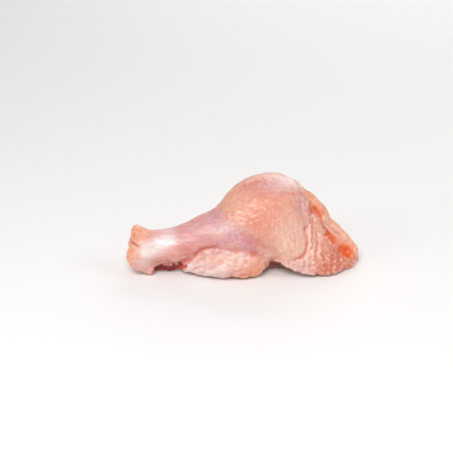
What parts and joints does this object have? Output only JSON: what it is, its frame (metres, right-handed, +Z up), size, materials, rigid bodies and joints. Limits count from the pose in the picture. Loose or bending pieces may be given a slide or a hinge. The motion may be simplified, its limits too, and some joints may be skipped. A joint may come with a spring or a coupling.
{
  "type": "raw chicken drumette",
  "caption": "Raw chicken drumette with its skin on, lying down: a narrow bony end, a round meaty end, a pale fold of fat and a loose flap of skin.",
  "frame": {"origin": "middle of the bounding box in plan, on the surface that the piece rests on", "axes": "+X along the bone from the knuckle to the loose flap of skin, -Y towards the shown side, +Z up"},
  "size_m": [0.1046, 0.0448, 0.0419],
  "materials": {
    "skin": "wet, semi-gloss"
  },
  "bodies": {
    "root": {"drumette": "skin"}
  },
  "joints": []
}
